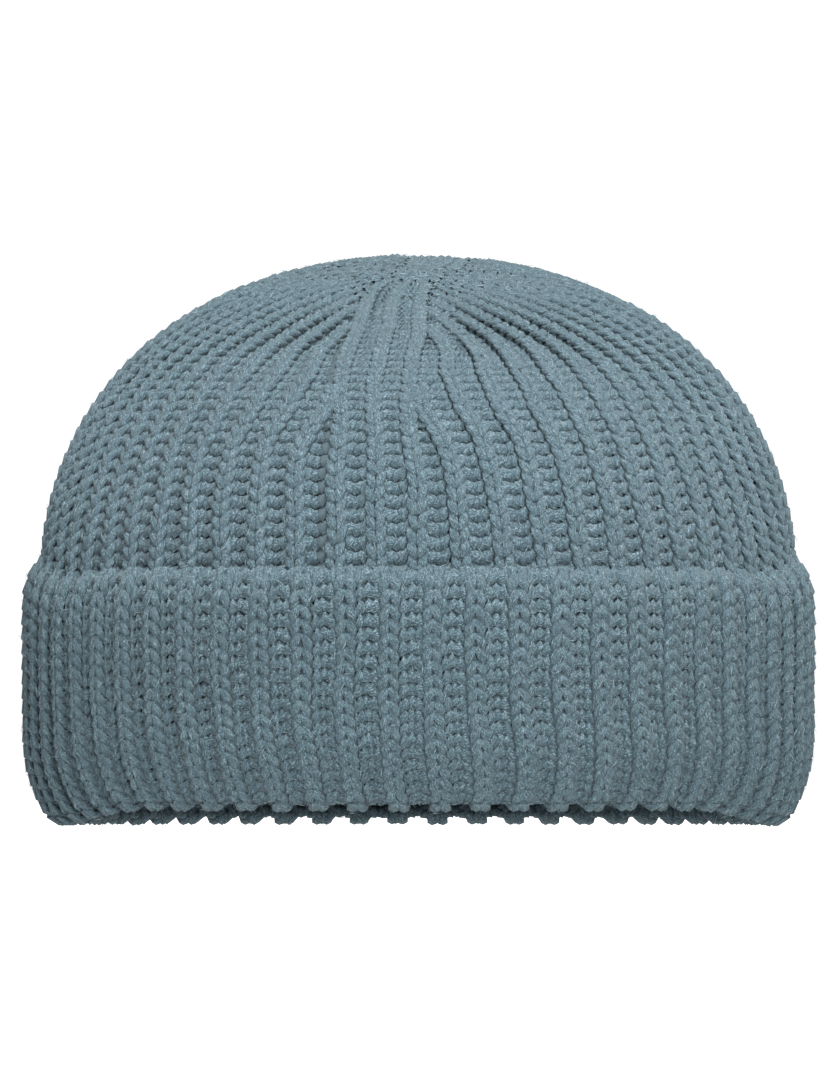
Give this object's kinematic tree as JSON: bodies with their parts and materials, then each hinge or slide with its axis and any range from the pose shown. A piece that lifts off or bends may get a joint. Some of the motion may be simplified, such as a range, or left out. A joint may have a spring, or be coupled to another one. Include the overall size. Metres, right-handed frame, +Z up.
{
  "type": "fisherman beanie",
  "caption": "Rib-knit beanie with a turned-up cuff, a rounded cast-on border and a dome drawn in along four straight bands.",
  "frame": {"origin": "middle of the footprint, on the surface that the rim stands on", "axes": "+Z up to the crown, the front of the hat faces -Y, +X is to the right of somebody who looks at the front"},
  "size_m": [0.1906, 0.2136, 0.1374],
  "materials": {
    "crown_knit": "thick soft wool yarn in 1x1 rib, grey-blue, with short fibres standing off it",
    "cuff_knit": "the same wool yarn on the turned-up cuff, grey-blue and a little deeper"
  },
  "bodies": {
    "root": {"crown_body": "crown_knit", "crown_closure": "crown_knit", "cuff": "cuff_knit", "cast_on_edge": "cuff_knit"}
  },
  "joints": []
}
